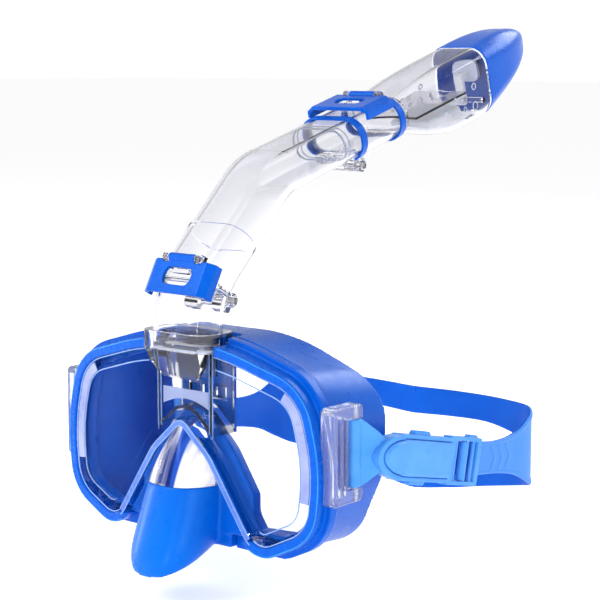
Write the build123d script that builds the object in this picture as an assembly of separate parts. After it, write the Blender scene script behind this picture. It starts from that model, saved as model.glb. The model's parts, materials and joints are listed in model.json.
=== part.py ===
from build123d import *
import os
from math import cos, radians, sin, tan

# Snorkel mask for a child: the nose sits in a pocket and the snorkel plugs in on top.
# Millimetres. +Z is up, the lens looks along -Y, +X is the wearer's left.
# Origin: middle of the opening that seals on the face.

# ---- driving dimensions ----------------------------------------------------------------
LENS_FRONT_Y = -58.0      # lens surface on the centre line
LENS_RADIUS = 805.0       # gentle wrap of the lens around the face
PANE = 2.4
LENS_BORDER = 6.2         # lower border round the middle of the pane
LENS_WALL = 2.0           # rim that stands back from the pane
LENS_BACK_Y = -49.0
FRAME_PROUD = 1.2         # frame in front of the lens
FRONT_BAND = 4.6          # frame beside the lens
REAR_BAND = 7.5           # wider step behind it, which clamps the skirt
BAND_STEP_Y = -49.6
BAND_BACK_Y = -44.6
CHIN_BAR_Y = -46.8        # bar that joins the frame under the nose pocket
CHIN_BAR_Z = -46.6
SKIRT_WALL = 2.4
SKIRT_REAR_Y = 1.5
FACE_RADIUS = 131.0       # curve of the face that the skirt seals on
FACE_CENTRE_Y = -20.0     # the rim is this far forward on the centre line
BRIDGE_Z = -20.0          # the nose is covered by a window above, by silicone below
DUCT_HALF = 17.2
DUCT_WALL = 1.6
DUCT_BACK_Y = -39.0
ARCH = 5.6                # the duct stands on the arch over the nose
DUCT_TOP_Z = 41.5
OUTLET_HALF = 12.2
OUTLET_LOW_Z = 16.2
OUTLET_HIGH_Z = 24.2
FLAP_TOP_Z = 23.6
PORT_LOW_Z = 41.7
PORT_HIGH_Z = 50.0
TUBE_WIDE = 37.0          # snorkel section, across and front to back
TUBE_DEEP = 20.0
TUBE_CORNER = 9.5
TUBE_WALL = 1.9
ELBOW_Y = -54.0
ELBOW_START_Z = 48.4
ELBOW_RADIUS = 45.0
RISE = 43.6               # climb of the lower run of the snorkel, degrees
REACH = 15.8              # climb of the upper run
BEND = (-1.0, 118.5)      # Y and Z where the two runs cross
BEND_RADIUS = 30.0
LOWER_JOINT_AT = 28.0     # where the elbow is parted, degrees round its bend
UPPER_JOINT_AT = 60.0     # distance past the bend of the snorkel
CHAMBER_AT = 95.0
CAP_AT = 170.0
JOINT_STEP = 1.3          # the near end of a joint stops this short of the far end
GASKET = 1.0
HINGE_OUT = 4.5           # hinge pins behind the tube wall
PIN_R = 1.5
RUN_GAP = 0.05            # running clearance on pins
LUG_OUT = 84.6
SWIVEL = (82.0, -34.0, 1.0)
DROOP = 12.3              # the buckle falls away to the back, degrees
BUCKLE_X = 6.0            # middle of the buckle, outboard of the swivel
BODY_START = 6.5          # along the buckle from the swivel
BODY_END = 62.5
BODY_HALF = 10.65
KEEPER_END = 88.0
KEEPER_HALF = 11.5
ROLLER_AT = 77.0
BUTTON_AT = 40.0
STRAP_THICK = 1.9
STRAP_HALF = 8.2
STRAP_DROP = -30.0        # height of the strap behind the head


def mirrored(shape):
    return mirror(shape, about=Plane.YZ)


def block(x0, x1, y0, y1, z0, z1):
    centre = ((x0 + x1) / 2, (y0 + y1) / 2, (z0 + z1) / 2)
    return Pos(*centre) * Box(x1 - x0, y1 - y0, z1 - z0)


def across(radius, length):
    """A round bar along X."""
    return Rot(0, 90, 0) * Cylinder(radius, length)


# ---- outlines, seen from the front -------------------------------------------------------
# Corner points of the right half with the radius that rounds each.
LENS_CORNERS = [((22, 41.5), 120), ((68, 28), 22), ((76, -4), 80), ((73, -33), 18),
                ((45, -46.5), 10), ((18, -6), 30)]
LENS_APEX = ((0, 10), 6)
HULL_CORNERS = [((22, 41.5), 120), ((68, 28), 22), ((76, -4), 80), ((73, -33), 18),
                ((54.3, -42), 10)]
SHELL_CORNERS = [((24, 48.8), 110), ((71, 34.5), 24), ((78.3, -4), 80), ((75, -38), 22),
                 ((56, -48.8), 16)]
RIM_CORNERS = [((36, 47.5), 50), ((73.5, 22), 28), ((72.5, -16), 40), ((58, -54), 22),
               ((22, -50.5), 40)]


def outline(corners, apex=None, grow=0.0):
    left = [((-x, z), r) for (x, z), r in reversed(corners)]
    loop = list(corners) + ([apex] if apex else []) + left
    points = [point for point, _ in loop]
    radii = [radius for _, radius in loop]
    face = make_face(Plane.XZ * FilletPolyline(*points, radius=radii, close=True))
    if grow:
        face = offset(face, grow)
    return face


def slab(face, y0, y1):
    """The outline as a block from y0 to y1."""
    return extrude(Pos(0, y0, 0) * face, amount=y1 - y0, dir=(0, 1, 0))


def wrap(y_front, y_back):
    """Space between two curved sheets that follow the lens."""
    centre = LENS_FRONT_Y + LENS_RADIUS
    outer = Pos(0, centre, 0) * Cylinder(centre - y_front, 200)
    return outer - Pos(0, centre, 0) * Cylinder(centre - y_back, 200)


# ---- the snorkel's line, in the YZ plane ---------------------------------------------------
ELBOW_CENTRE = (ELBOW_Y + ELBOW_RADIUS, ELBOW_START_Z)


def along(distance, lift=0.0):
    """A point of the upper run, this far past the bend, lifted off its axis."""
    c, s = cos(radians(REACH)), sin(radians(REACH))
    return (BEND[0] + c * distance - s * lift, BEND[1] + s * distance + c * lift)


def round_elbow(angle, radius=ELBOW_RADIUS):
    """A point round the elbow's bend, by angle and distance from its centre."""
    a = radians(angle)
    return (ELBOW_CENTRE[0] - radius * cos(a), ELBOW_CENTRE[1] + radius * sin(a))


def cross_plane(point, climb):
    """A plane square to the snorkel: local y points off the axis, up and forward."""
    c, s = cos(radians(climb)), sin(radians(climb))
    return Plane(origin=(0, point[0], point[1]), x_dir=(-1, 0, 0), z_dir=(0, c, s))


def run_plane(distance):
    return cross_plane(along(distance), REACH)


def seat_plane(point, climb):
    """A plane lying on the snorkel: local y runs up the tube and z points off it."""
    c, s = cos(radians(climb)), sin(radians(climb))
    return Plane(origin=(0, point[0], point[1]), x_dir=(1, 0, 0), z_dir=(0, -s, c))


def section(wide=TUBE_WIDE, deep=TUBE_DEEP, corner=TUBE_CORNER, inset=0.0):
    return RectangleRounded(wide - 2 * inset, deep - 2 * inset, corner - inset)


def swept(inset):
    turn = radians(90 - RISE)
    corner = (ELBOW_Y, ELBOW_START_Z + ELBOW_RADIUS * tan(turn / 2))
    points = [(0, ELBOW_Y, ELBOW_START_Z), (0, *corner), (0, *BEND), (0, *along(CHAMBER_AT))]
    path = FilletPolyline(*points, radius=[ELBOW_RADIUS - 0.001, BEND_RADIUS])
    return sweep(cross_plane(round_elbow(0), 90) * section(inset=inset), path=path)


def lofted(stations, inset=0.0):
    """stations: (plane, width, low edge, high edge, corner) from one end to the other."""
    faces = []
    for plane, wide, low, high, corner in stations:
        shape = section(wide, high - low, corner, inset)
        faces.append(plane * (Pos(0, (low + high) / 2) * shape))
    return loft(faces)


def above(shape, plane, gap=0.0):
    return split(shape, bisect_by=plane.offset(gap), keep=Keep.TOP)


def below(shape, plane, gap=0.0):
    return split(shape, bisect_by=plane.offset(-gap), keep=Keep.BOTTOM)


LOWER_PLANE = cross_plane(round_elbow(LOWER_JOINT_AT), 90 - LOWER_JOINT_AT)
UPPER_PLANE = run_plane(UPPER_JOINT_AT)

# ---- nose pocket ---------------------------------------------------------------------------
# Height at the front, half width at the lens, half width in front, front, fall to the front.
BULB_ROWS = [(8.5, 1.6, 1.0, -59.0, 0), (0, 10, 7.5, -62.5, 0), (-8, 16, 12.5, -66.5, 0),
             (-20, 20, 17, -71.5, 0), (-40, 19.5, 17.5, -79, 11), (-53, 18.5, 17, -83.5, 18),
             (-60.5, 15.5, 14, -83.5, 21.5)]


def bulb(inset, back_y, lift_floor=0.0):
    faces = []
    for row, (z, base, front, y, fall) in enumerate(BULB_ROWS):
        b = max(base - inset, 0.7)
        f = max(front - inset, 0.4)
        nose = y + inset
        if row == len(BULB_ROWS) - 1:
            z += lift_floor
        slope = tan(radians(fall))
        sketch = [(b, back_y), (b, -50), (f, nose + 0.62 * f), (0.62 * f, nose + 0.14 * f)]
        right = [(px, py, z + (py - y) * slope) for px, py in sketch]
        left = [(-px, py, pz) for px, py, pz in reversed(right)]
        middle = (0, nose, z + (nose - y) * slope)
        curve = Spline(*right, middle, *left)
        faces.append(make_face([curve, Line(left[-1], right[0])]))
    return loft(faces)


BULB_OUTER = bulb(0, -44.6)
BULB_INNER = bulb(2.2, -38, 2.4)
SILL = Plane(origin=(0, -66, BRIDGE_Z), x_dir=(1, 0, 0), z_dir=(0, 0, 1))

# ---- mask body -------------------------------------------------------------------------------


def notch_rim(wide):
    """Clear rim that stands forward along the notch for the nose."""
    rim = slab(outline(LENS_CORNERS, LENS_APEX, wide), -75, BAND_STEP_Y)
    rim -= slab(outline(LENS_CORNERS, LENS_APEX, -0.3), -80, -30)
    rim &= slab(outline(HULL_CORNERS, None, -2.4), -80, -30)
    return rim & wrap(LENS_FRONT_Y - 1.4, LENS_FRONT_Y + 40)


def make_lens():
    full = outline(LENS_CORNERS, LENS_APEX)
    inner = outline(LENS_CORNERS, LENS_APEX, -LENS_WALL)
    pane = slab(full, -75, -30) & wrap(LENS_FRONT_Y, LENS_FRONT_Y + PANE)
    rim = slab(full, -60, LENS_BACK_Y) - slab(inner, -62, -40)
    rim &= wrap(LENS_FRONT_Y + PANE / 2, LENS_FRONT_Y + 40)
    centre = slab(outline(LENS_CORNERS, LENS_APEX, -LENS_BORDER), -75, -30)
    step = wrap(LENS_FRONT_Y - 1, LENS_FRONT_Y + 0.6)
    pane += notch_rim(2.2)
    lens = pane + rim - (step - centre) - BULB_OUTER
    lens -= block(-DUCT_HALF, DUCT_HALF, -55.4, -40, 38, 60)
    return lens.solids().sort_by(SortBy.VOLUME)[-1]


def make_frame():
    opening = slab(outline(LENS_CORNERS, LENS_APEX, 0.02), -80, -30)
    front = slab(outline(LENS_CORNERS, LENS_APEX, FRONT_BAND), -75, BAND_STEP_Y)
    front -= slab(outline(HULL_CORNERS), -80, -30)
    front &= wrap(LENS_FRONT_Y - FRAME_PROUD, LENS_FRONT_Y + 40)
    rear = slab(outline(HULL_CORNERS, None, REAR_BAND), BAND_STEP_Y, BAND_BACK_Y)
    rear -= slab(outline(HULL_CORNERS, None, 0.5), -60, -30)
    rear -= block(-26, 26, -60, CHIN_BAR_Y, -70, -30) + block(-26, 26, -60, -30, CHIN_BAR_Z, -30)
    body = front - opening + rear - opening
    return body - block(-20.7, 20.7, -90, -30, 30, 60) - BULB_OUTER


def make_skirt():
    hull_in = slab(outline(HULL_CORNERS, None, -2.5), -60, -30)
    lip = slab(outline(HULL_CORNERS, None, 0.4), -48.9, BAND_BACK_Y) - hull_in
    web = slab(outline(SHELL_CORNERS), BAND_BACK_Y, BAND_BACK_Y + SKIRT_WALL) - hull_in
    front = Pos(0, BAND_BACK_Y, 0) * outline(SHELL_CORNERS)
    rear = Pos(0, SKIRT_REAR_Y, 0) * outline(RIM_CORNERS)
    shell = loft([front, rear])
    hollow_front = Pos(0, BAND_BACK_Y + SKIRT_WALL, 0) * outline(SHELL_CORNERS, None, -SKIRT_WALL)
    hollow_rear = Pos(0, SKIRT_REAR_Y + 0.5, 0) * outline(RIM_CORNERS, None, -SKIRT_WALL)
    shell -= loft([hollow_front, hollow_rear])
    shell -= slab(outline(HULL_CORNERS, None, -2.5), -60, BAND_BACK_Y + SKIRT_WALL + 0.1)
    lens_face = outline(LENS_CORNERS, LENS_APEX)
    # silicone that fills the notch of the lens beside the nose
    fill = slab(outline(HULL_CORNERS, None, -0.1), -54.2, BAND_BACK_Y + SKIRT_WALL)
    fill &= block(-52, 52, -60, -30, -60, 12)
    chin = slab(outline(SHELL_CORNERS), -53.4, BAND_BACK_Y + SKIRT_WALL)
    fill += chin & block(-25.9, 25.9, -60, -30, -60, -38)
    fill -= block(-27, 27, CHIN_BAR_Y - 0.05, BAND_BACK_Y, -60, CHIN_BAR_Z + 0.05)
    fill -= slab(lens_face, -60, -30)
    fill -= slab(outline(LENS_CORNERS, LENS_APEX, 2.25), -60, BAND_STEP_Y + 0.05)
    # flat walls behind the legs of the notch
    legs = slab(lens_face, -48.9, -43) - slab(outline(LENS_CORNERS, LENS_APEX, -5.5), -60, -30)
    legs &= block(-36, 36, -60, -30, -40, 16)
    pocket = below(BULB_OUTER, SILL)
    roof = block(-20.6, 20.6, -38.9, -36.5, 36, 47)
    face = Pos(0, FACE_CENTRE_Y + FACE_RADIUS, 0) * Cylinder(FACE_RADIUS, 260)
    skirt = lip + web + shell + fill + legs + pocket + roof
    skirt = skirt - BULB_INNER - face
    skirt -= above(BULB_OUTER, SILL) & block(-40, 40, -90, -54.2, -60, 20)
    skirt -= duct_space(DUCT_HALF + 0.05, ARCH - 0.05, DUCT_BACK_Y + 0.05)
    return skirt - block(-20.6, 20.6, -70, DUCT_BACK_Y, 36, 60)


def make_nose_window():
    shell = above(BULB_OUTER - BULB_INNER, SILL)
    shell -= slab(outline(LENS_CORNERS, LENS_APEX, 2.25), -80, -30)
    return shell & block(-40, 40, -90, -54.3, -60, 20)


def make_port():
    collar = block(-20.5, 20.5, -66, -41, PORT_LOW_Z, PORT_HIGH_Z)
    collar = fillet(collar.edges().filter_by(Axis.Z), 8)
    profile = Polyline((-65.6, PORT_LOW_Z + 2), (-58.1, PORT_LOW_Z + 2), (-58.1, 28), (-59, 28), close=True)
    wedge = extrude(Plane.YZ * make_face(profile), amount=20, both=True)
    corners = [(17.6, 46), (15.6, 35), (11, 28), (-11, 28), (-15.6, 35), (-17.6, 46)]
    shield = FilletPolyline(*corners, radius=4, close=True)
    shield = make_face(Plane.XZ * shield)
    hole = extrude(Pos(0, ELBOW_Y, PORT_LOW_Z) * section(inset=-0.1), amount=20)
    return collar + (wedge & slab(shield, -80, -40)) - hole


SPIGOT = (0, -49.9)        # centre of the elbow's spigot in the duct
SPIGOT_SIZE = (25.0, 9.8, 4.0)


def duct_space(half, arch, back_y):
    """A block behind the lens that ends on the arch over the nose."""
    over_nose = slab(outline(LENS_CORNERS, LENS_APEX, -arch), -60, back_y)
    over_nose += block(-half, half, -60, back_y, 20, 60)
    return over_nose & block(-half, half, -60, back_y, -12, 60)


def make_duct():
    shell = duct_space(DUCT_HALF, ARCH, DUCT_BACK_Y)
    shell -= duct_space(DUCT_HALF - DUCT_WALL, ARCH + DUCT_WALL, DUCT_BACK_Y - DUCT_WALL)
    shell &= block(-DUCT_HALF, DUCT_HALF, -55.4, DUCT_BACK_Y, -12, DUCT_TOP_Z)
    return shell & block(-DUCT_HALF, DUCT_HALF, -60, DUCT_BACK_Y - DUCT_WALL, -12, DUCT_TOP_Z)


def make_duct_back():
    """Silicone wall that closes the duct towards the face."""
    wall = duct_space(DUCT_HALF, ARCH, DUCT_BACK_Y)
    wall &= block(-DUCT_HALF, DUCT_HALF, DUCT_BACK_Y - DUCT_WALL, DUCT_BACK_Y, -12, DUCT_TOP_Z)
    return wall - block(-OUTLET_HALF, OUTLET_HALF, -45, -30, OUTLET_LOW_Z, OUTLET_HIGH_Z)


def make_valve_seat():
    y0, y1 = DUCT_BACK_Y - DUCT_WALL, DUCT_BACK_Y
    seat = block(-OUTLET_HALF, OUTLET_HALF, y0, y1, OUTLET_LOW_Z, OUTLET_HIGH_Z)
    for x in (-8, 0, 8):
        seat -= block(x - 3.1, x + 3.1, y0 - 1, y1 + 1, OUTLET_LOW_Z + 1.4, OUTLET_HIGH_Z - 1.8)
    return seat


def make_flap():
    flap = block(-11.7, 11.7, DUCT_BACK_Y + 0.35, DUCT_BACK_Y + 1.05, OUTLET_LOW_Z + 0.4, FLAP_TOP_Z)
    flap = fillet(flap.edges().filter_by(Axis.Y).group_by(Axis.Z)[0], 2.0)
    return flap + Pos(0, DUCT_BACK_Y + 0.8, FLAP_TOP_Z) * across(0.45, 23.4)


# ---- snorkel -----------------------------------------------------------------------------------


def make_mid_tube():
    tube = below(above(TUBE, LOWER_PLANE), UPPER_PLANE, JOINT_STEP)
    top = cross_plane(round_elbow(46.4), RISE).offset(14)
    sleeve = below(above(swept(-0.7) - swept(0), LOWER_PLANE, 0.4), top)
    return tube + sleeve


def make_elbow():
    floor_z = 43.0
    body = extrude(Pos(0, ELBOW_Y, floor_z) * section(), amount=ELBOW_START_Z - floor_z)
    body -= extrude(Pos(0, ELBOW_Y, floor_z + 1.6) * section(inset=TUBE_WALL), amount=20)
    spigot = extrude(Pos(*SPIGOT, 29) * RectangleRounded(*SPIGOT_SIZE), amount=floor_z + 1.6 - 29)
    wide, deep, corner = SPIGOT_SIZE
    bore = extrude(Pos(*SPIGOT, 20) * RectangleRounded(wide - 3, deep - 3, corner - 1.5), amount=30)
    return body + spigot - bore + below(TUBE, LOWER_PLANE, JOINT_STEP)


TUBE = swept(0) - swept(TUBE_WALL)
KNUCKLE_R = 3.5


def hinge(plane):
    """Pin, middle knuckle of the far part and outer knuckles of the near part."""
    lift = -(TUBE_DEEP / 2 + HINGE_OUT)
    place = plane * Pos(0, lift, 0)
    pin = place * across(PIN_R, 24)
    middle = place * across(KNUCKLE_R, 9.2)
    middle += place * Pos(0, 2.4, 3.3) * Box(9.2, 5.6, 4.8)
    middle -= place * across(PIN_R + RUN_GAP, 40)
    outer = []
    for side in (-1, 1):
        knuckle = place * Pos(side * 8.5, 0, 0) * across(KNUCKLE_R, 7)
        knuckle += place * Pos(side * 8.5, 2.4, -3.7) * Box(7, 5.6, 4.8)
        outer.append(knuckle - place * across(PIN_R, 40))
    return pin, middle, outer[0] + outer[1]


def gasket(plane):
    ring = section(inset=0.5) - section(inset=TUBE_WALL + 0.1)
    return extrude(plane * (Pos(0, 0, -JOINT_STEP) * ring), amount=GASKET)


LATCH_THICK = 2.0
LATCH_OFF = 0.9           # air between latch and tube
LATCH_PIN_UP = 2.4
LATCH_PIN_R = 1.0


def latch(tube_top, long, flap, rib, lift):
    """A window plate on the tube; it turns on a pin at its upper end."""
    plane = tube_top.offset(lift)
    end = long / 2
    top = LATCH_OFF + LATCH_THICK
    profile = [(15.6, top), (19.4, top - 2.8), (19.4, top - flap), (17.8, top - flap), (17.8, top - 3.4),
               (14.9, LATCH_OFF)]
    mirror_side = [(-x, z) for x, z in reversed(profile)]
    outline_face = make_face(Plane.XZ * Polyline(*profile, *mirror_side, close=True))
    plate = extrude(Pos(0, -end, 0) * outline_face, amount=long - 1.3, dir=(0, 1, 0))
    plate -= extrude(Pos(0, -0.4, -5) * RectangleRounded(17, 8.6, 3.4), amount=20)
    for side in (-1, 1):
        plate -= Pos(side * 9.9, end, 0) * Box(4.0, 5.0, 20)
    barrel = Pos(0, end, LATCH_PIN_UP) * across(2.0, 16)
    barrel += Pos(0, end - 1.5, LATCH_PIN_UP - 0.5) * Box(16, 2.4, 2.0)
    plate = plate + barrel - Pos(0, end, LATCH_PIN_UP) * across(LATCH_PIN_R + RUN_GAP, 60)
    pin = Pos(0, end, LATCH_PIN_UP) * across(LATCH_PIN_R, 23)
    seat = []
    for side in (-1, 1):
        ear = Pos(side * 9.9, end, LATCH_PIN_UP) * across(2.0, 3.2)
        ear += Pos(side * 9.9, end, 0.9 - lift / 2) * Box(3.2, 4.0, 3.4 + lift)
        seat.append(ear - Pos(side * 9.9, end, LATCH_PIN_UP) * across(LATCH_PIN_R, 10))
    rib_at, rib_long = rib
    bump = RectangleRounded(11.5, rib_long, rib_long / 2 - 0.1)
    bump = extrude(Pos(0, rib_at, -1.2 - lift) * bump, amount=3.4 + lift)
    return plane * plate, plane * pin, plane * seat[0] + plane * seat[1] + plane * bump


LATCH_AT = 28.3
LOWER_SEAT = seat_plane(round_elbow(LATCH_AT, ELBOW_RADIUS + TUBE_DEEP / 2), 90 - LATCH_AT)
UPPER_SEAT = seat_plane(along(73.4, TUBE_DEEP / 2), REACH)


def clamp_ring(distance, wide=4.0):
    ring = section(inset=-1.1) - section()
    return extrude(run_plane(distance) * ring, amount=wide)


# Distance along the run, width, low edge, high edge, corner.
CHAMBER_ROWS = [(95, 37, -10, 10, 9.5), (110, 37, -14.8, 12, 9.5), (123, 37, -19, 13.4, 9.8),
                (135, 37, -21.8, 14.2, 10), (152, 37, -23.4, 14.8, 10), (170, 37, -22, 15, 10)]
CAP_ROWS = [(170, 37.6, -22.3, 15.3, 10), (190, 35.2, -17.2, 16.4, 11), (206, 30, -12, 15.4, 10),
            (218.5, 21, -6.2, 12.6, 7), (227.5, 9, 0.4, 8.4, 2.6)]


def run_loft(rows, inset=0.0):
    return lofted([(run_plane(at), w, low, high, r) for at, w, low, high, r in rows], inset)


FLOAT_PIVOT = run_plane(163) * Pos(0, -12, 0)


def make_chamber():
    shell = run_loft(CHAMBER_ROWS) - run_loft(CHAMBER_ROWS, TUBE_WALL)
    inside = run_loft(CHAMBER_ROWS, TUBE_WALL - 0.2)
    shelf = run_plane(126) * Pos(0, -3.6, 0) * Box(40, 1.2, 46)
    shell += shelf & inside
    for x in (-9, 0, 9):
        shell -= run_plane(160) * Pos(x, -20, 0) * Box(3, 12, 7)
    return shell - FLOAT_PIVOT * across(PIN_R, 36)


def make_cap():
    shell = run_loft(CAP_ROWS)
    hollow_rows = [(169.5, 37.6, -22.3, 15.3, 10)] + CAP_ROWS[1:4] + [(223.8, 14, -2.6, 9.8, 4.6)]
    shell -= run_loft(hollow_rows, 1.9)
    baffle = run_plane(182) * Box(40, 50, 1.6) - run_plane(182) * Pos(0, 1, 0) * Box(10, 8, 4)
    shell += baffle & run_loft(CAP_ROWS, 1)
    for at in (188, 195, 202):
        shell -= run_plane(at) * Pos(0, -18, 0) * Box(15, 16, 2.4)
    return shell


def make_float():
    ends = [(118, 24, -14.4, -10.6, 1.6), (148, 24, -19.6, -10.6, 2.4)]
    return run_loft(ends)


def make_lever():
    lever = run_plane(155.2) * Pos(0, -12, 0) * Box(5, 3, 14)
    lever += run_plane(165.8) * Pos(0, -12, 0) * Box(5, 3, 5.6)
    lever += FLOAT_PIVOT * across(3.0, 10)
    lever += run_plane(167.4) * Pos(0, -7, 0) * Box(5, 13, 2.4)
    lever += run_plane(170.6) * Pos(0, -0.8, 0) * Box(5, 3, 6)
    return lever - FLOAT_PIVOT * across(PIN_R + RUN_GAP, 60)


def make_seal():
    return extrude(run_plane(173.6) * (Pos(0, 1) * RectangleRounded(16, 12, 4)), amount=2.2)


# ---- strap lugs and buckles, on the wearer's left ---------------------------------------------------
def make_lug(frame):
    lug = block(77.9, LUG_OUT, -52, -30, -21, 23)
    lug = fillet(lug.edges().filter_by(Axis.X), 2.6)
    lug = chamfer(lug.faces().sort_by(Axis.X)[-1].edges(), 0.8)
    lug -= block(70, 95, -48.4, -46, -17.5, 19.5)
    lug -= block(70, 95, -41, -20, -14.9, 16.9)
    lug -= block(LUG_OUT - 1.2, 95, -44.6, -42.6, -16.5, 18.5)
    lug -= Pos(*SWIVEL) * Cylinder(PIN_R, 80)
    return lug - frame


def local(y, x=0.0, z=0.0):
    """A place on the buckle: y along the strap from the swivel, x outboard of its middle."""
    return Pos(*SWIVEL) * Rot(-DROOP, 0, 0) * Pos(x + BUCKLE_X, y, z)


def make_tab():
    barrel = Pos(*SWIVEL) * Cylinder(3.3, 30.6)
    plan = Polyline((0.5, -2.6), (7.2, 9.6), (7.6, 22), (4.4, 22), (4.2, 10.8), (-2.2, 1.0), close=True)
    sheet = extrude(make_face(plan), amount=20, both=True)
    fan = Polyline((-1, -15.0), (2.5, -15.0), (11, -9.0), (15, -6.8), (22, -6.8), (22, 3.6), (15, 3.6),
                   (11, 7.4), (2.5, 15.0), (-1, 15.0), close=True)
    fan_block = extrude(Plane.YZ * make_face(fan), amount=20, both=True)
    tab = Pos(*SWIVEL) * (sheet & fan_block)
    tab = barrel + tab
    return tab - Pos(*SWIVEL) * Cylinder(PIN_R + RUN_GAP, 80)


def nosed(start, end, half, blend):
    """A plate outline with a long rounded nose at its start."""
    nose = [(start + blend * (1 - cos(radians(a))), half * sin(radians(a))) for a in range(0, 91, 15)]
    top = Spline(*nose, tangents=((0, 1), (1, 0)))
    low = Spline(*[(y, -z) for y, z in nose], tangents=((0, -1), (1, 0)))
    sides = [Line((start + blend, half), (end, half)), Line((end, half), (end, -half)),
             Line((end, -half), (start + blend, -half))]
    return make_face([top, low] + sides)


def plate(face, x0, x1):
    return local(0, x0) * extrude(Plane.YZ * face, amount=x1 - x0)


def make_body(tab):
    body = plate(nosed(BODY_START, BODY_END, BODY_HALF, 22), -3.5, 3.5)
    body -= plate(nosed(BODY_START + 3.8, BODY_END + 1, BODY_HALF - 2.0, 20.2), 2.1, 9)
    for side in (-1, 1):
        body -= local(BUTTON_AT, 0, side * 9) * Box(4.3, 12.9, 7.4)
    return body - tab


def make_cover():
    cover = plate(nosed(BODY_START + 4.1, BODY_END - 0.2, BODY_HALF - 2.3, 20), 2.1, 4.2)
    return cover + plate(nosed(BODY_START + 5.0, BODY_END - 1.1, BODY_HALF - 3.2, 19.4), 4.2, 5.0)


def make_keeper():
    keeper = local((BODY_END + KEEPER_END) / 2, 0.2) * Box(5.4, KEEPER_END - BODY_END, 2 * KEEPER_HALF)
    window = local((BODY_END + KEEPER_END) / 2 + 0.5, 0.2) * Box(20, KEEPER_END - BODY_END - 7, 19.2)
    keeper = keeper - window
    for at in (BODY_END + 6.0, KEEPER_END - 5.2):
        keeper += local(at, 1.4) * Box(1.6, 1.8, 19.6)
    knob = local(KEEPER_END - 6, 0.2, KEEPER_HALF + 0.4) * Box(3.4, 6.4, 1.6)
    keeper += knob
    return keeper - local(ROLLER_AT, 0.2) * Cylinder(1.3 + RUN_GAP, 22.4)


def make_roller():
    roller = local(ROLLER_AT, 0.2) * Cylinder(2.3, 18.4)
    return roller + local(ROLLER_AT, 0.2) * Cylinder(1.3, 22.0)


def make_button(side):
    button = local(BUTTON_AT, 0, side * 9.6) * Box(3.6, 12.2, 4.6)
    for step in range(5):
        button += local(BUTTON_AT - 4.8 + 2.4 * step, 0, side * 12.0) * Box(3.6, 1.2, 1.0)
    return button


# ---- head strap -------------------------------------------------------------------------------------
# Share of the way to the back of the head, height of the middle, half height of the band.
BAND_STOPS = [(0.0, -13.4, 8.2), (0.17, -18.0, 8.2), (0.28, -20.4, 8.4), (0.37, -21.6, 11.0),
              (0.44, -21.9, 16.4), (0.50, -22.3, 20.4)]
# The same for one branch: its inner and outer edge.
BRANCH_STOPS = [(0.50, -22.3, 0.0, 20.4), (0.57, -23.3, 5.0, 22.0), (0.66, -24.6, 9.6, 23.8),
                (0.82, -27.6, 12.2, 26.4), (1.0, STRAP_DROP, 13.2, 28.0)]


def strap_section(line, share, low, high):
    point = line.position_at(share)
    heading = line.tangent_at(share) if share < 1 else Vector(-1, 0, 0)
    flat = Plane(origin=(point.X, point.Y, (low + high) / 2), x_dir=(0, 0, 1), z_dir=heading)
    return flat * Rectangle(high - low, STRAP_THICK)


def strap_half():
    line = FilletPolyline((84.2, 30.5), (84.2, 115), (50, 121.7), (0, 122.5), radius=[13, 80])
    strap = loft([strap_section(line, at, z - half, z + half) for at, z, half in BAND_STOPS])
    for sign in (1, -1):
        faces = []
        for at, z, inner, outer in BRANCH_STOPS:
            low, high = sorted((z + sign * inner, z + sign * outer))
            faces.append(strap_section(line, at, low, high))
        strap += loft(faces)
    return strap


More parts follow.
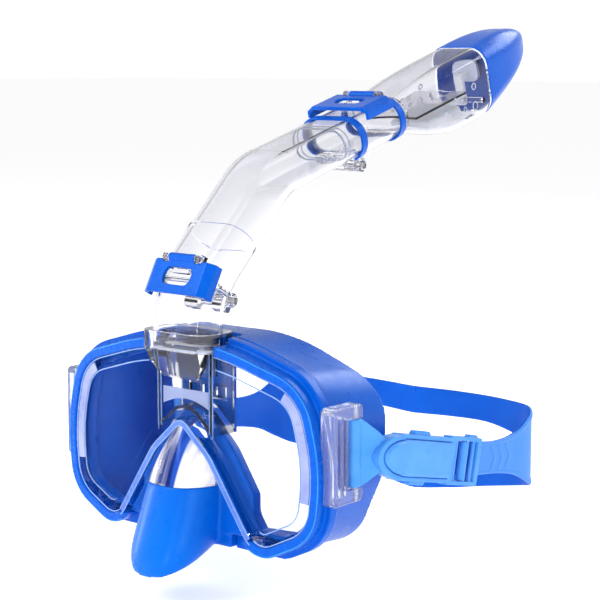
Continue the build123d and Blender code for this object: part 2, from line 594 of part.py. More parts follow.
# ---- build --------------------------------------------------------------------------------------------
def main():
    parts = {}
    frame = make_frame()
    parts["lens"] = make_lens()
    parts["retaining_frame"] = frame
    parts["silicone_skirt"] = make_skirt()
    parts["nose_window"] = make_nose_window()
    parts["air_duct"] = make_duct()
    parts["duct_back_wall"] = make_duct_back()
    parts["inhale_valve_seat"] = make_valve_seat()
    parts["inhale_flap"] = make_flap()
    parts["snorkel_port"] = make_port()
    under = section(inset=0.6) - Pos(0, SPIGOT[1] - ELBOW_Y) * RectangleRounded(25.2, 10, 4.1)
    parts["port_gasket"] = extrude(Pos(0, ELBOW_Y, 41.8) * under, amount=1.2)
    lower_pin, lower_middle, lower_outer = hinge(LOWER_PLANE)
    upper_pin, upper_middle, upper_outer = hinge(UPPER_PLANE)
    lower_latch, lower_latch_pin, lower_latch_seat = latch(LOWER_SEAT, 17.6, 7.2, (2.6, 2.2), 0.6)
    upper_latch, upper_latch_pin, upper_latch_seat = latch(UPPER_SEAT, 22.6, 6.4, (-0.4, 4.4), 1.8)
    parts["elbow"] = make_elbow() + lower_outer
    parts["lower_gasket"] = gasket(LOWER_PLANE)
    parts["lower_hinge_pin"] = lower_pin
    parts["mid_tube"] = make_mid_tube() + lower_middle + upper_outer + lower_latch_seat
    parts["lower_collar_ring"] = clamp_ring(54.6) - run_plane(57) * Pos(0, -12, 0) * Box(24.6, 6, 9)
    parts["upper_gasket"] = gasket(UPPER_PLANE)
    parts["upper_hinge_pin"] = upper_pin
    parts["lower_latch"] = lower_latch
    parts["lower_latch_pin"] = lower_latch_pin
    parts["dry_top_tube"] = above(TUBE, UPPER_PLANE) + upper_middle + upper_latch_seat
    parts["upper_collar_ring"] = clamp_ring(87.4)
    parts["upper_latch"] = upper_latch
    parts["upper_latch_pin"] = upper_latch_pin
    parts["float_chamber"] = make_chamber()
    parts["dry_top_cap"] = make_cap()
    parts["float_pin"] = FLOAT_PIVOT * across(PIN_R, 36)
    parts["float"] = make_float()
    parts["float_lever"] = make_lever()
    parts["valve_seal"] = make_seal()
    tab = make_tab()
    left = {"strap_lug": make_lug(frame), "lug_pin": Pos(*SWIVEL) * Cylinder(PIN_R, 43.6),
            "strap_tab": tab, "buckle_body": make_body(tab), "buckle_cover": make_cover(),
            "buckle_keeper": make_keeper(), "strap_roller": make_roller(),
            "release_button_upper": make_button(1), "release_button_lower": make_button(-1)}
    for name, shape in left.items():
        parts[name + "_left"] = shape
        parts[name + "_right"] = mirrored(shape)
    half = strap_half()
    parts["head_strap"] = half + mirrored(half)
    os.makedirs("parts", exist_ok=True)
    for name, shape in parts.items():
        export_step(shape, f"parts/{name}.step")


main()
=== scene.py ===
"""Looks of the snorkel mask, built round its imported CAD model. Metres, in the CAD's frame."""

import json
from math import acos, cos, radians, sin, tan

import bpy
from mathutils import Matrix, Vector


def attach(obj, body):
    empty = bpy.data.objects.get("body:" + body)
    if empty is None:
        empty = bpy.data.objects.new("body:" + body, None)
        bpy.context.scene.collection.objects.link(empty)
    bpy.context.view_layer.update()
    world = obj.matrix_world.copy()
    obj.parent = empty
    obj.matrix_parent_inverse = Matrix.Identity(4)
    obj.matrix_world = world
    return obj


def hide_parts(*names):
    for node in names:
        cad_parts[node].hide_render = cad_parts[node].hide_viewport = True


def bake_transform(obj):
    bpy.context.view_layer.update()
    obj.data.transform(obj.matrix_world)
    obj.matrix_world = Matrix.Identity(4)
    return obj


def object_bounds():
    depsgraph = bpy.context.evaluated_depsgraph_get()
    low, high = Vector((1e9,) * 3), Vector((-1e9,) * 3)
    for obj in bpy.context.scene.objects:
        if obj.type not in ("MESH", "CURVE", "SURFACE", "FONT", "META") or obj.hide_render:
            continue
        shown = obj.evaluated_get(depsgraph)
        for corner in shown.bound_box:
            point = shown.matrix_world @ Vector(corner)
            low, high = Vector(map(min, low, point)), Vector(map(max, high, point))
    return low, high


MM = 0.001
FINE_GRAIN = 2600         # scale of the noise that roughens every moulded surface

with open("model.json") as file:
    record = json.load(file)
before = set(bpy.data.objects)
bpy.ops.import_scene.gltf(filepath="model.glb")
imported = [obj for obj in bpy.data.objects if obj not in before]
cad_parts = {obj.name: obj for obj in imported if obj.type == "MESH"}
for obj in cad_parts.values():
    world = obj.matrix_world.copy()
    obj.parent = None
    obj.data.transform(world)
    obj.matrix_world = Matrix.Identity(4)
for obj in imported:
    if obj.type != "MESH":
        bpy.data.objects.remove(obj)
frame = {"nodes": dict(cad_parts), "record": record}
cad_low, cad_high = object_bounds()
nodes = frame["nodes"]

# ---- materials -------------------------------------------------------------------------


def new_material(name):
    made = bpy.data.materials.new(name)
    made.use_nodes = True
    tree = made.node_tree
    return made, tree, tree.nodes["Principled BSDF"]


def node(tree, kind, settings=None, **values):
    made = tree.nodes.new(kind)
    for key, value in (settings or {}).items():
        setattr(made, key, value)
    for key, value in values.items():
        made.inputs[key.replace("_", " ")].default_value = value
    return made


def noise(tree, scale, detail=4.0, roughness=0.55):
    place = tree.nodes.new("ShaderNodeTexCoord")
    made = node(tree, "ShaderNodeTexNoise", Scale=scale, Detail=detail, Roughness=roughness)
    tree.links.new(place.outputs["Object"], made.inputs["Vector"])
    return made


def ramp(tree, source, low, high, start=0.3, end=0.7):
    made = tree.nodes.new("ShaderNodeMapRange")
    made.inputs["From Min"].default_value = start
    made.inputs["From Max"].default_value = end
    made.inputs["To Min"].default_value = low
    made.inputs["To Max"].default_value = high
    tree.links.new(source, made.inputs["Value"])
    return made.outputs["Result"]


def grain(tree, shader, height, strength, distance):
    bump = node(tree, "ShaderNodeBump", Strength=strength, Distance=distance)
    tree.links.new(height, bump.inputs["Height"])
    tree.links.new(bump.outputs["Normal"], shader.inputs["Normal"])


def mixed_colour(tree, factor, dark, light):
    made = tree.nodes.new("ShaderNodeMix")
    made.data_type = "RGBA"
    made.inputs["A"].default_value = (*dark, 1)
    made.inputs["B"].default_value = (*light, 1)
    tree.links.new(factor, made.inputs["Factor"])
    return made.outputs["Result"]


def opaque(name, dark, light, roughness, grain_depth=0.00004, soft=0.0, blue_gloss=False):
    """A moulded material: slow colour drift, fine surface grain and uneven gloss."""
    made, tree, shader = new_material(name)
    drift = noise(tree, 60, 3)
    fine = noise(tree, FINE_GRAIN, 3)
    wear = noise(tree, 240, 5)
    colour = mixed_colour(tree, ramp(tree, drift.outputs["Fac"], 0, 1), dark, light)
    tree.links.new(colour, shader.inputs["Base Color"])
    gloss = ramp(tree, wear.outputs["Fac"], roughness - 0.05, roughness + 0.07)
    tree.links.new(gloss, shader.inputs["Roughness"])
    grain(tree, shader, fine.outputs["Fac"], 0.35, grain_depth)
    if blue_gloss:
        shader.inputs["Specular IOR Level"].default_value = 0.34
        shader.inputs["Specular Tint"].default_value = (0.25, 0.55, 1.0, 1)
    if soft:
        shader.inputs["Subsurface Weight"].default_value = soft
        shader.inputs["Subsurface Radius"].default_value = (0.2, 0.5, 1.0)
        shader.inputs["Subsurface Scale"].default_value = 0.004
    return made


def clear(name, tint, edge, roughness, ior, clouding=0.0):
    """A see-through moulding with faint flow marks, and painted shade where it is seen edge on."""
    made, tree, shader = new_material(name)
    flow = noise(tree, 34, 2)
    facing = tree.nodes.new("ShaderNodeLayerWeight")
    facing.inputs["Blend"].default_value = 0.35
    # painted shade: the darker edge colour is mixed in where the surface is seen edge on
    colour = mixed_colour(tree, ramp(tree, facing.outputs["Facing"], 0, 1, 0.15, 0.95), tint, edge)
    tree.links.new(colour, shader.inputs["Base Color"])
    shader.inputs["IOR"].default_value = ior
    shader.inputs["Transmission Weight"].default_value = 1.0 - clouding
    marks = noise(tree, 150, 3)
    gloss = ramp(tree, marks.outputs["Fac"], roughness, roughness + 0.03)
    tree.links.new(gloss, shader.inputs["Roughness"])
    grain(tree, shader, flow.outputs["Fac"], 0.05, 0.0006)
    return made


def geometry_dot(tree, centre, flatten):
    """How far a surface faces away from a point, from -1 to 1."""
    place = tree.nodes.new("ShaderNodeNewGeometry")
    away = node(tree, "ShaderNodeVectorMath", {"operation": "SUBTRACT"})
    away.inputs[1].default_value = centre
    flat = node(tree, "ShaderNodeVectorMath", {"operation": "MULTIPLY"})
    flat.inputs[1].default_value = flatten
    unit = node(tree, "ShaderNodeVectorMath", {"operation": "NORMALIZE"})
    dot = node(tree, "ShaderNodeVectorMath", {"operation": "DOT_PRODUCT"})
    tree.links.new(place.outputs["Position"], away.inputs[0])
    tree.links.new(away.outputs["Vector"], flat.inputs[0])
    tree.links.new(flat.outputs["Vector"], unit.inputs[0])
    tree.links.new(unit.outputs["Vector"], dot.inputs[0])
    tree.links.new(place.outputs["Normal"], dot.inputs[1])
    return dot.outputs["Value"]


def object_axis(tree, axis):
    place = tree.nodes.new("ShaderNodeTexCoord")
    parts = tree.nodes.new("ShaderNodeSeparateXYZ")
    tree.links.new(place.outputs["Object"], parts.inputs["Vector"])
    return parts.outputs[axis]


def tint_by(made, factor_of, colour):
    """Mixes a second colour into a material where the factor is 1."""
    tree = made.node_tree
    shader = tree.nodes["Principled BSDF"]
    before = shader.inputs["Base Color"].links[0].from_socket
    mix = tree.nodes.new("ShaderNodeMix")
    mix.data_type = "RGBA"
    tree.links.new(factor_of(tree), mix.inputs["Factor"])
    tree.links.new(before, mix.inputs["A"])
    mix.inputs["B"].default_value = (*colour, 1)
    tree.links.new(mix.outputs["Result"], shader.inputs["Base Color"])


def streaks(made, low, high):
    """Upright white streaks of painted glare in a clear material, where less light passes through.
    """
    tree = made.node_tree
    shader = tree.nodes["Principled BSDF"]
    place = tree.nodes.new("ShaderNodeTexCoord")
    stretch = tree.nodes.new("ShaderNodeMapping")
    stretch.inputs["Scale"].default_value = (1.0, 0.25, 0.06)
    bands = node(tree, "ShaderNodeTexNoise", Scale=150, Detail=2, Roughness=0.5)
    tree.links.new(place.outputs["Object"], stretch.inputs["Vector"])
    tree.links.new(stretch.outputs["Vector"], bands.inputs["Vector"])
    passing = ramp(tree, bands.outputs["Fac"], high, low, 0.42, 0.58)
    tree.links.new(passing, shader.inputs["Transmission Weight"])


silicone = opaque("silicone_blue", (0.0, 0.085, 0.50), (0.0, 0.105, 0.57), 0.30,
                  grain_depth=0.00001, soft=0.05, blue_gloss=True)
# painted light: the silicone is painted lighter where it stands free in front of the face, standing
# in for the light that shines through it there
tint_by(silicone, lambda tree: ramp(tree, object_axis(tree, "Y"), 1, 0, -0.080, -0.060),
        (0.0, 0.135, 0.66))
gloss_blue = opaque("plastic_blue", (0.0, 0.083, 0.52), (0.0, 0.098, 0.58), 0.26,
                    grain_depth=0.00002, blue_gloss=True)
# painted light: the buckles get a lighter copy of the blue plastic, standing in for the light
# falling on them
buckle_blue = opaque("buckle_blue", (0.055, 0.27, 0.76), (0.09, 0.33, 0.84), 0.30,
                     grain_depth=0.00002, blue_gloss=True)
strap_blue = opaque("strap_blue", (0.0, 0.088, 0.54), (0.0, 0.105, 0.60), 0.40,
                    soft=0.05, blue_gloss=True)
# painted light: the outward-facing side of the band is painted paler than the inward-facing side,
# which stands in shade
HEAD_MIDDLE = (0, 0.03, 0)
tint_by(strap_blue,
        lambda tree: ramp(tree, geometry_dot(tree, HEAD_MIDDLE, (1, 1, 0)), 0, 1, -0.1, 0.1),
        (0.06, 0.25, 0.76))
# painted highlight: light blue for the beads along the lens and duct edges
painted_edge_highlight = opaque("lens_edge_painted_highlight", (0.17, 0.33, 0.76), (0.28, 0.43, 0.82), 0.25)
notch_blue = opaque("notch_rim", (0.04, 0.13, 0.54), (0.08, 0.19, 0.62), 0.25)
# painted view: lilac for the lug seen through the sides of the lens
painted_lug_view = opaque("lens_side_painted_lug_view", (0.20, 0.25, 0.56), (0.32, 0.37, 0.68), 0.3)
haze = clear("duct_haze", (0.62, 0.68, 0.92), (0.50, 0.58, 0.90), 0.3, 1.2, clouding=0.45)
# painted shade: grey for edges of clear parts seen edge on
painted_edge_shade = opaque("clear_edge_painted_shade", (0.30, 0.36, 0.52), (0.52, 0.56, 0.70), 0.2)
# painted highlight: lighter blue for two ridges along the frame
painted_ridge_highlight = opaque("frame_ridge_painted_highlight", (0.02, 0.20, 0.72), (0.04, 0.26, 0.80), 0.22, blue_gloss=True)
clear_plastic = clear("clear_plastic", (0.95, 0.95, 0.975), (0.60, 0.61, 0.70), 0.04, 1.32)
clear_lens = clear("clear_lens", (0.975, 0.985, 0.995), (0.55, 0.70, 0.95), 0.01, 1.10)
window = clear("window_clear", (0.93, 0.92, 0.97), (0.70, 0.70, 0.86), 0.05, 1.22)
# painted highlight: white glare streaks down the window
streaks(window, 0.30, 1.0)
# painted view: a deep blue stripe down the window, from one X to the other, standing in for the
# blue inside seen through it
tint_by(window, lambda tree: ramp(tree, object_axis(tree, "X"), 0, 1, 0.0015, 0.0022),
        (0.02, 0.10, 0.55))
tint_by(window, lambda tree: ramp(tree, object_axis(tree, "X"), 0, 1, 0.0062, 0.0070),
        (0.93, 0.92, 0.97))
lilac = clear("lug_clear", (0.80, 0.83, 0.98), (0.50, 0.58, 0.90), 0.08, 1.30, clouding=0.12)
frosted = opaque("frosted_white", (0.70, 0.72, 0.75), (0.84, 0.86, 0.89), 0.45, soft=0.2)
seal = opaque("soft_seal", (0.60, 0.66, 0.82), (0.74, 0.78, 0.90), 0.4, soft=0.3)
steel = opaque("pin_steel", (0.55, 0.56, 0.58), (0.70, 0.71, 0.73), 0.24)
steel.node_tree.nodes["Principled BSDF"].inputs["Metallic"].default_value = 1.0

LOOKS = {"silicone_blue": silicone, "plastic_blue": gloss_blue, "buckle_blue": buckle_blue,
         "strap_blue": strap_blue, "clear_plastic": clear_plastic, "clear_lens": clear_lens,
         "frosted_white": frosted, "soft_seal": seal, "pin_steel": steel}
OWN_LOOK = {"nose_window": window, "strap_lug_left": lilac, "strap_lug_right": lilac}
slot_of = {part["node"]: part["material_slot"] for part in frame["record"]["subparts"]}
for name, cad in nodes.items():
    cad.data.materials.clear()
    cad.data.materials.append(OWN_LOOK.get(name) or LOOKS[slot_of[name]])

# ---- mesh helpers ------------------------------------------------------------------------


def new_piece(name, vertices, faces, look):
    mesh = bpy.data.meshes.new(name)
    mesh.from_pydata(vertices, [], faces)
    mesh.validate()
    made = bpy.data.objects.new(name, mesh)
    bpy.context.collection.objects.link(made)
    made.data.materials.append(look)
    return made


def apply_modifiers(piece):
    """Turns the piece's modifiers into its mesh."""
    graph = bpy.context.evaluated_depsgraph_get()
    final = bpy.data.meshes.new_from_object(piece.evaluated_get(graph))
    piece.modifiers.clear()
    old = piece.data
    piece.data = final
    bpy.data.meshes.remove(old)


def soften(piece, voxel, rounds):
    """One closed skin with rounded edges, from a piece with hard ones."""
    remesh = piece.modifiers.new("skin", "REMESH")
    remesh.mode = "VOXEL"
    remesh.voxel_size = voxel
    smooth = piece.modifiers.new("soft", "SMOOTH")
    smooth.factor = 0.5
    smooth.iterations = rounds
    apply_modifiers(piece)
    piece.data.shade_smooth()


def moulded(cad_name, body, voxel, rounds):
    """A rounded copy of a CAD node that stands for it."""
    cad = nodes[cad_name]
    made = bpy.data.objects.new("moulded_" + cad_name, cad.data.copy())
    bpy.context.collection.objects.link(made)
    soften(made, voxel, rounds)
    made.data.materials.clear()
    made.data.materials.append(LOOKS[slot_of[cad_name]])
    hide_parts(cad_name)
    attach(made, body)


# ---- soft and moulded pieces ----------------------------------------------------------------
# Each line gives the CAD node, its body, the cell size of the new skin and the smoothing rounds.
moulded("silicone_skirt", "mask", 0.7 * MM, 8)
moulded("retaining_frame", "mask", 0.42 * MM, 6)
moulded("lower_latch", "lower_latch", 0.28 * MM, 3)
moulded("upper_latch", "upper_latch", 0.28 * MM, 3)
moulded("dry_top_cap", "dry_top", 0.45 * MM, 6)
for side in ("left", "right"):
    for piece in ("strap_tab", "buckle_body", "buckle_cover", "buckle_keeper"):
        moulded(f"{piece}_{side}", "buckle_" + side, 0.32 * MM, 3)
    for place in ("upper", "lower"):
        button = f"release_button_{place}_{side}"
        moulded(button, button, 0.22 * MM, 2)

# ---- head strap -------------------------------------------------------------------------------
STRAP_THICK = 1.9 * MM
STRAP_CELL = 0.42 * MM    # cell size of its skin
STRAP_X = 84.2            # middle of the band where it runs straight back
# Centre line of the wearer's left half, seen from above.
STRAP_LINE = [(STRAP_X, 30.5), (STRAP_X, 60), (STRAP_X, 88), (84.1, 101), (82.6, 109),
              (78, 114.3), (70, 117.6), (50, 121), (25, 122.3), (0, 122.5), (-1, 122.5)]
# Share of the way, height of the middle, inner and outer edge of one branch.
STRAP_EDGES = [(0.0, -13.4, 0.0, 8.2), (0.17, -18.0, 0.0, 8.2), (0.28, -20.4, 0.0, 8.4),
               (0.37, -21.6, 0.0, 11.0),
               (0.44, -21.9, 0.0, 16.4), (0.49, -22.2, 0.3, 20.0), (0.53, -22.7, 2.4, 21.2),
               (0.60, -23.8, 6.6, 22.6), (0.70, -25.4, 10.4, 24.4), (0.84, -27.9, 12.4, 26.6),
               (1.0, -30.0, 13.2, 28.0)]


def curve_through(points, steps):
    """Evenly many points on a smooth curve through the given ones."""
    out = []
    for i in range(len(points) - 1):
        near = [min(max(k, 0), len(points) - 1) for k in (i - 1, i, i + 1, i + 2)]
        a, b, c, d = (Vector(points[k]) for k in near)
        for k in range(steps):
            t = k / steps
            out.append(0.5 * (2 * b + (c - a) * t + (2 * a - 5 * b + 4 * c - d) * t * t
                              + (3 * b - a - 3 * c + d) * t ** 3))
    out.append(Vector(points[-1]))
    return out


def edges_at(share):
    """Height of the middle, inner and outer edge there, on a smooth curve through the stops."""
    stops = STRAP_EDGES
    last = len(stops) - 1
    i = next((k for k in range(last) if share <= stops[k + 1][0]), last - 1)
    span = stops[i + 1][0] - stops[i][0]
    t = min(1.0, max(0.0, (share - stops[i][0]) / span))

    def slope(k, column):
        if k == 0 or k == last:
            return 0.0
        before, after = stops[k - 1], stops[k + 1]
        return (after[column] - before[column]) / (after[0] - before[0])

    values = []
    for column in (1, 2, 3):
        a, b = stops[i][column], stops[i + 1][column]
        a_slope, b_slope = slope(i, column) * span, slope(i + 1, column) * span
        values.append(a * (1 + 2 * t) * (1 - t) ** 2 + a_slope * t * (1 - t) ** 2
                      + b * t * t * (3 - 2 * t) - b_slope * t * t * (1 - t))
    return values


def strap_half(side):
    line = [p * MM for p in curve_through(STRAP_LINE, 14)]
    lengths = [0.0]
    for a, b in zip(line, line[1:]):
        lengths.append(lengths[-1] + (b - a).length)
    vertices, faces = [], []
    # across the band: place from the inner (0) to the outer edge (1), and how far out of the middle
    profile = [(0.0, 0.0), (0.02, 0.5), (0.06, 0.5), (0.80, 0.5), (0.86, 0.74), (0.95, 0.74),
               (1.0, 0.45), (1.0, -0.45), (0.95, -0.5), (0.06, -0.5), (0.02, -0.5)]
    for sign in (1, -1):
        first = len(vertices)
        count = len(profile)
        for i, point in enumerate(line):
            ahead = line[min(i + 1, len(line) - 1)] - line[max(i - 1, 0)]
            outward = Vector((ahead.y, -ahead.x)).normalized()
            middle_z, inner, outer = edges_at(lengths[i] / lengths[-1])
            # the halves of the undivided band overlap in its middle
            if inner < 0.3:
                inner = -0.3
            for across, out in profile:
                z = (middle_z + sign * (inner + (outer - inner) * across)) * MM
                spot = point + outward * out * STRAP_THICK
                vertices.append((spot.x * side, spot.y, z))
        for i in range(len(line) - 1):
            for k in range(count):
                a = first + i * count + k
                b = first + i * count + (k + 1) % count
                faces.append((a, b, b + count, a + count))
        faces.append(tuple(first + k for k in range(count)))
        faces.append(tuple(first + (len(line) - 1) * count + k for k in range(count))[::-1])
    # two raised bars and three chevrons on the near end of the band
    marks = [[(y0, -7.4), (y0 + 1.4, -7.4), (y0 + 1.4, 7.4), (y0, 7.4)] for y0 in (53.5, 57.5)]
    for y0 in (73, 79.4, 85.8):
        marks += [[(y0, 0), (y0 + 1.7, 0), (y0 - 1.4, 6 * sign), (y0 - 3.1, 6 * sign)]
                  for sign in (1, -1)]
    for corners in marks:
        base = len(vertices)
        for y, dz in corners:
            z = edges_at((y - STRAP_LINE[0][1]) * MM / lengths[-1])[0] + dz
            for x in (STRAP_X, STRAP_X + 1.4):
                vertices.append((x * MM * side, y * MM, z * MM))
        quad = [(0, 1, 3, 2), (2, 3, 5, 4), (4, 5, 7, 6), (6, 7, 1, 0), (0, 2, 4, 6), (1, 7, 5, 3)]
        faces += [tuple(base + k for k in q) for q in quad]
    name = "strap_left" if side > 0 else "strap_right"
    made = new_piece(name, vertices, faces, strap_blue)
    clean = made.modifiers.new("weld", "WELD")
    clean.merge_threshold = 1e-6
    soften(made, STRAP_CELL, 3)
    made.data.materials.clear()
    made.data.materials.append(strap_blue)
    return made


strap_left, strap_right = strap_half(1), strap_half(-1)
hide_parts("head_strap")
for strap, name, side in ((strap_left, "buckle_left", 1), (strap_right, "buckle_right", -1)):
    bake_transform(strap)

# ---- painted highlights along the edges of the lens, the frame and the duct ------------------
# X and Z of each corner of the wearer's left half, and its radius
LENS_CORNERS = [((22, 41.5), 120), ((68, 28), 22), ((76, -4), 80), ((73, -33), 18),
                ((45, -46.5), 10), ((18, -6), 30), ((0, 10), 6)]
LENS_FRONT_Y = -58.0
LENS_RADIUS = 805.0


def mirrored(corners):
    return [((-x, z), radius) for (x, z), radius in reversed(corners)]


def lens_outline(grow):
    """The lens seen from the front, as a closed run of points, grown outward."""
    return outline(LENS_CORNERS + mirrored(LENS_CORNERS[:-1]), grow)


def outline(loop, grow):
    """A closed run of points round corners that each have a radius."""
    points = [Vector(corner) for corner, _ in loop]
    round_points = []
    for i, (_, radius) in enumerate(loop):
        here, last, following = points[i], points[i - 1], points[(i + 1) % len(points)]
        before, after = (last - here).normalized(), (following - here).normalized()
        half = acos(max(-1, min(1, before.dot(after)))) / 2
        reach = min(radius / tan(half), 0.5 * (last - here).length, 0.5 * (following - here).length)
        bow = reach * tan(half)
        centre = here + (before + after).normalized() * bow / sin(half)
        start, end = here + before * reach - centre, here + after * reach - centre
        sweep = start.angle_signed(end)
        for step in range(9):
            turn = -sweep * step / 8
            round_points.append(centre + Vector((start.x * cos(turn) - start.y * sin(turn),
                                                 start.x * sin(turn) + start.y * cos(turn))))
    dense = []
    for a, b in zip(round_points, round_points[1:] + round_points[:1]):
        parts = max(1, int((b - a).length / 2))
        dense += [a + (b - a) * k / parts for k in range(parts)]
    out = []
    for i, here in enumerate(dense):
        heading = (dense[(i + 1) % len(dense)] - dense[i - 1]).normalized()
        out.append(here + Vector((-heading.y, heading.x)) * grow)
    return out


def on_lens(point, forward=0.0):
    """A point of the outline on the curved front of the lens."""
    y = LENS_FRONT_Y + point.x ** 2 / (2 * LENS_RADIUS) - forward
    return Vector((point.x, y, point.y)) * MM


def bead(name, runs, radius, look, body="mask"):
    """Thin round beads along open runs of points, used to carry painted highlights and painted
    shade.
    """
    vertices, faces = [], []
    sides = 8
    for run in runs:
        first = len(vertices)
        for i, here in enumerate(run):
            heading = (run[min(i + 1, len(run) - 1)] - run[max(i - 1, 0)]).normalized()
            up = Vector((0, 1, 0)) if abs(heading.y) < 0.9 else Vector((1, 0, 0))
            across = heading.cross(up).normalized()
            up = across.cross(heading)
            for k in range(sides):
                turn = radians(360 * k / sides)
                vertices.append(here + (across * cos(turn) + up * sin(turn)) * radius)
        for i in range(len(run) - 1):
            for k in range(sides):
                a, b = first + i * sides + k, first + i * sides + (k + 1) % sides
                faces.append((a, b, b + sides, a + sides))
        faces.append(tuple(first + k for k in range(sides))[::-1])
        faces.append(tuple(first + (len(run) - 1) * sides + k for k in range(sides)))
    made = new_piece(name, vertices, faces, look)
    made.data.shade_smooth()
    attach(made, body)
    return made


def runs_where(points, wanted, forward=0.0):
    """The stretches of a closed outline whose points are wanted."""
    start = next(i for i, p in enumerate(points) if wanted(p) and not wanted(points[i - 1]))
    runs, open_run = [], []
    for p in points[start:] + points[:start]:
        if wanted(p):
            open_run.append(on_lens(p, forward))
        elif open_run:
            runs.append(open_run)
            open_run = []
    return runs + ([open_run] if open_run else [])


def in_notch(p):
    return abs(p.x) < 42 and p.y < 14


def beside_duct(p):
    return abs(p.x) > 19


def outside_notch(p):
    return not (abs(p.x) < 46 and p.y < 20) and (beside_duct(p) or p.y <= 20)


def on_frame(reach):
    """Test for the parts of the frame beside the duct and further out than the nose's reach."""
    return lambda p: abs(p.x) > 21.5 and not (abs(p.x) < reach and p.y < 30)


THIN, THICK = 0.30 * MM, 0.34 * MM          # radii of the bright edges
# painted highlights: light blue beads along the lens border, its outer edge and both edges of the
# nose notch
bead("lens_border_highlight", runs_where(lens_outline(-6.2), outside_notch, -0.2),
     0.32 * MM, painted_edge_highlight)
bead("lens_outer_highlight",
     runs_where(lens_outline(-0.5), lambda p: not in_notch(p) and beside_duct(p), 0.1),
     THICK, painted_edge_highlight)
for name, grow in (("notch_inner_edge", -0.3), ("notch_outer_edge", 2.0)):
    bead(name, runs_where(lens_outline(grow), in_notch, 1.2), THIN, painted_edge_highlight)
# painted highlights: two lighter blue ridges along the frame
for name, grow, reach, forward in (("frame_front_ridge", 4.0, 40, 1.1),
                                   ("frame_rear_ridge", 6.8, 52, -8.6)):
    bead(name, runs_where(lens_outline(grow), on_frame(reach), forward),
         THICK, painted_ridge_highlight)
DUCT_FACE_Y = -55.4
# painted highlights down the sides of the duct
duct_edges = [[Vector((x, DUCT_FACE_Y, z)) * MM for z in (low_z, 14, 28, 41)]
              for x, low_z in ((-17.3, 1.5), (-15.3, 3.5), (15.3, 3.5), (17.3, 1.5))]
bead("duct_side_highlights", duct_edges, THIN, painted_edge_highlight)


def box_sides(a):
    """Faces between the section of four points that starts at a and the next one."""
    return [(a + n, a + (n + 1) % 4, a + 4 + (n + 1) % 4, a + 4 + n) for n in range(4)]


def ribbon(name, inner, outer, wanted, forward, look):
    """A thin band on the lens between two grown outlines."""
    vertices, faces = [], []
    low, high = lens_outline(inner), lens_outline(outer)
    spots = [i for i, p in enumerate(low) if wanted(p)]
    for i in spots:
        vertices += [on_lens(low[i], forward), on_lens(high[i], forward),
                     on_lens(high[i], forward - 0.5), on_lens(low[i], forward - 0.5)]
    for k, (i, j) in enumerate(zip(spots, spots[1:])):
        a = 4 * k
        if j == i + 1:
            faces += box_sides(a)
        else:
            faces += [(a, a + 3, a + 2, a + 1), (a + 4, a + 5, a + 6, a + 7)]
    last = 4 * (len(spots) - 1)
    faces += [(0, 1, 2, 3), (last, last + 3, last + 2, last + 1)]
    made = new_piece(name, vertices, faces, look)
    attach(made, "mask")
    return made


ribbon("notch_rim_face", -0.2, 1.9, in_notch, 1.45, notch_blue)
# painted view: a lilac band on each side of the lens, level with the lug seen through it
ribbon("lens_side_lug_view", -5.6, -1.2, lambda p: abs(p.x) > 58 and -22 < p.y < 26, 0.15,
       painted_lug_view)


def splash_guard(name):
    """Cloudy strip across the front of the duct, with a bowed lower edge."""
    vertices, faces = [], []
    steps = 14
    half_wide, corner_z, bow, top_z = 14.2, 14.5, 3.6, 22.6
    front_y, rear_y = -55.1, -54.5
    for k in range(steps + 1):
        x = -half_wide + 2 * half_wide * k / steps
        low_z = corner_z + bow * (1 - (x / half_wide) ** 2)
        vertices += [Vector(spot) * MM for spot in
                     ((x, front_y, low_z), (x, front_y, top_z),
                      (x, rear_y, top_z), (x, rear_y, low_z))]
    for k in range(steps):
        faces += box_sides(4 * k)
    faces += [(3, 2, 1, 0), (4 * steps, 4 * steps + 1, 4 * steps + 2, 4 * steps + 3)]
    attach(new_piece(name, vertices, faces, haze), "mask")


splash_guard("duct_splash_guard")

# ---- inner lip of the face seal --------------------------------------------------------------
RIM_CORNERS = [((36, 47.5), 50), ((73.5, 22), 28), ((72.5, -16), 40), ((58, -54), 22),
               ((22, -50.5), 40)]
LIP_WIDTH = 19.4
LIP_ROWS = 5              # rows of points across the lip, each with a rear and a front point
FACE_RADIUS = 131.0
FACE_CENTRE_Y = -20.0


def on_face(point, forward):
    y = FACE_CENTRE_Y + FACE_RADIUS - (FACE_RADIUS ** 2 - point.x ** 2) ** 0.5 - forward
    return Vector((point.x, y, point.y)) * MM


def face_lip(name, side):
    loop = RIM_CORNERS + mirrored(RIM_CORNERS)
    rim, inner = outline(loop, -1.6), outline(loop, -1.6 - LIP_WIDTH)
    spots = [i for i, p in enumerate(rim) if p.x * side > 56 and -36 < p.y < 34]
    vertices, faces = [], []
    for i in spots:
        # the lip narrows to nothing at its upper and lower end
        width = max(0.02, 1 - ((rim[i].y + 1) / 37) ** 2) ** 0.5
        for row in range(LIP_ROWS):
            share = row / (LIP_ROWS - 1)
            here = rim[i] + (inner[i] - rim[i]) * share * width
            vertices += [on_face(here, 0.3), on_face(here, 1.5 - 0.7 * share)]
    section = 2 * LIP_ROWS
    for k in range(len(spots) - 1):
        first, following = section * k, section * (k + 1)
        for n in range(0, section - 2, 2):
            a, b = first + n, following + n
            faces += [(a, a + 2, b + 2, b), (a + 1, b + 1, b + 3, a + 3)]
        faces += [(first, following, following + 1, first + 1),
                  (following - 2, following - 1, following + section - 1, following + section - 2)]
    for first in (0, section * (len(spots) - 1)):
        faces += [(a, a + 1, a + 3, a + 2) for a in range(first, first + section - 2, 2)]
    made = new_piece(name, vertices, faces, silicone)
    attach(made, "mask")


face_lip("face_lip_left", 1)
face_lip("face_lip_right", -1)

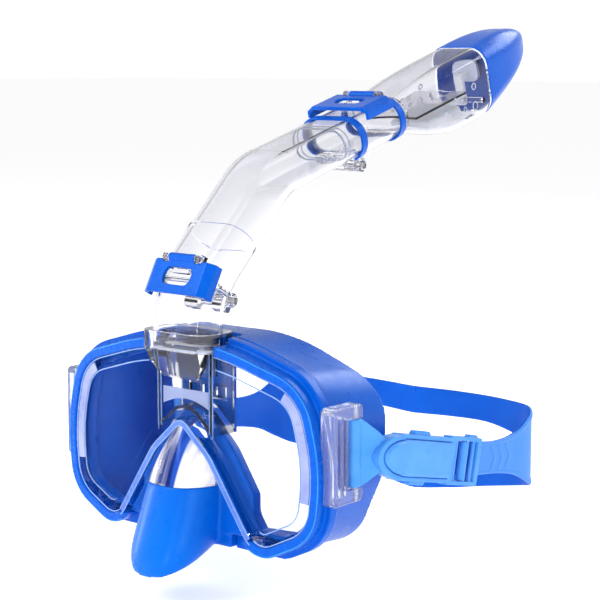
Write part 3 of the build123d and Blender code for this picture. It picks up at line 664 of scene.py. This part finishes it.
# ---- inside and on the snorkel ---------------------------------------------------------------
RISE = radians(15.8)      # of the upper run, off the level
BEND = (-1.0, 118.5)      # Y and Z where the upper run begins
CHAMBER_SIDE = 18.5       # X of the side walls of the dry top's chamber


def on_run(distance, lift, x):
    """A point of the upper run: distance past the bend, height off its axis, place across it."""
    return Vector((x, BEND[0] + cos(RISE) * distance - sin(RISE) * lift,
                   BEND[1] + sin(RISE) * distance + cos(RISE) * lift)) * MM


def section_ring(distance, half_wide, half_deep, corner):
    """A round-cornered ring across the upper run, closed by its first two points."""
    points = []
    for quarter, (sx, sy) in enumerate(((1, 1), (-1, 1), (-1, -1), (1, -1))):
        for step in range(9):
            turn = radians(90 * quarter + 90 * step / 8)
            points.append(on_run(distance, sy * (half_deep - corner) + corner * sin(turn),
                                 sx * (half_wide - corner) + corner * cos(turn)))
    return points + points[:2]


# painted shade: grey rings where the clear spigot's end and band are seen edge on
bead("spigot_end", [section_ring(44, 16.0, 7.6, 7.0)], 0.5 * MM,
     painted_edge_shade, "middle")
bead("spigot_band", [section_ring(47.5, 16.1, 7.7, 7.0)], 0.3 * MM,
     painted_edge_shade, "middle")
# distance, lift and radius of each round vent
VENTS = [(155, -2.0, 1.7), (143, -6.3, 1.4), (154, -12.4, 2.2), (144.6, -11.5, 1.2),
         (134, -10.6, 1.0), (137, -4.0, 0.8), (128, -8.5, 0.8)]
vent_rings = []
for side in (1, -1):
    for distance, lift, radius in VENTS:
        ring = [on_run(distance + radius * cos(radians(30 * k)),
                       lift + radius * sin(radians(30 * k)), side * CHAMBER_SIDE)
                for k in range(12)]
        vent_rings.append(ring + ring[:2])
# painted shade: grey rings round the vents in the clear chamber walls
bead("chamber_vents", vent_rings, 0.36 * MM, painted_edge_shade, "dry_top")

# ---- floor, light and camera -----------------------------------------------------------------
FLOOR_GAP = 12 * MM       # between the floor and the lowest point of the mask
floor_z = cad_low.z - FLOOR_GAP
bpy.ops.mesh.primitive_plane_add(size=30, location=(0, 0, floor_z))
floor = bpy.context.object
floor.name = "floor"
floor_look, tree, shader = new_material("floor_white")
shader.inputs["Base Color"].default_value = (0.93, 0.93, 0.94, 1)
shader.inputs["Emission Color"].default_value = (1.0, 1.0, 1.0, 1)
shader.inputs["Emission Strength"].default_value = 0.42
shader.inputs["Roughness"].default_value = 0.8
floor.data.materials.append(floor_look)

world = bpy.data.worlds.new("studio")
bpy.context.scene.world = world
world.use_nodes = True
# white round the horizon, greyer overhead, so that clear parts show their edges
sky = world.node_tree
direction = sky.nodes.new("ShaderNodeTexCoord")
split_xyz = sky.nodes.new("ShaderNodeSeparateXYZ")
sky.links.new(direction.outputs["Generated"], split_xyz.inputs["Vector"])
strength = ramp(sky, split_xyz.outputs["Z"], 1.12, 0.5, 0.02, 0.55)
sky.links.new(strength, sky.nodes["Background"].inputs["Strength"])
sky.nodes["Background"].inputs["Color"].default_value = (1.0, 1.0, 1.0, 1)
bpy.context.scene.view_settings.view_transform = "Standard"


def lamp(name, place, target, size, power):
    data = bpy.data.lights.new(name, "AREA")
    data.shape = "RECTANGLE"
    data.size, data.size_y = size
    data.energy = power
    made = bpy.data.objects.new(name, data)
    bpy.context.collection.objects.link(made)
    made.location = place
    made.rotation_euler = (Vector(target) - Vector(place)).to_track_quat("-Z", "Y").to_euler()


middle = (0, 0.03, 0.04)
lamp("key", (-0.55, -0.9, 1.0), middle, (0.7, 0.7), 10)
lamp("fill", (1.2, -0.7, 0.5), middle, (0.6, 0.9), 6)
lamp("back", (0.2, 1.2, 0.9), middle, (1.0, 0.5), 9)
nose = (0, -0.07, -0.04)
lamp("strip_right", (0.36, -0.95, -0.02), nose, (0.07, 0.5), 2.2)
lamp("strip_left", (-0.95, -0.40, 0.0), nose, (0.07, 0.5), 2.6)

AZIMUTH, ELEVATION = radians(40), radians(8)
DISTANCE = 0.8
SENSOR_WIDTH = 36.0       # mm
FOCAL_LENGTH = 103.68     # mm
AIM = Vector((0, -54.6, 8)) * MM      # near the top of the nose notch
# The camera stands to the right of that point and above it, in its own directions.
TO_THE_RIGHT, HIGHER = 0.0523148, 0.0554167
back = Vector((sin(AZIMUTH) * cos(ELEVATION), -cos(AZIMUTH) * cos(ELEVATION), sin(ELEVATION)))
right = Vector((cos(AZIMUTH), sin(AZIMUTH), 0))
up = back.cross(right)
camera_data = bpy.data.cameras.new("camera")
camera_data.sensor_width = SENSOR_WIDTH
camera_data.lens = FOCAL_LENGTH
camera = bpy.data.objects.new("camera", camera_data)
bpy.context.collection.objects.link(camera)
camera.location = AIM + back * DISTANCE + right * TO_THE_RIGHT + up * HIGHER
camera.rotation_mode = "QUATERNION"
camera.rotation_quaternion = back.to_track_quat("Z", "Y")
bpy.context.scene.camera = camera
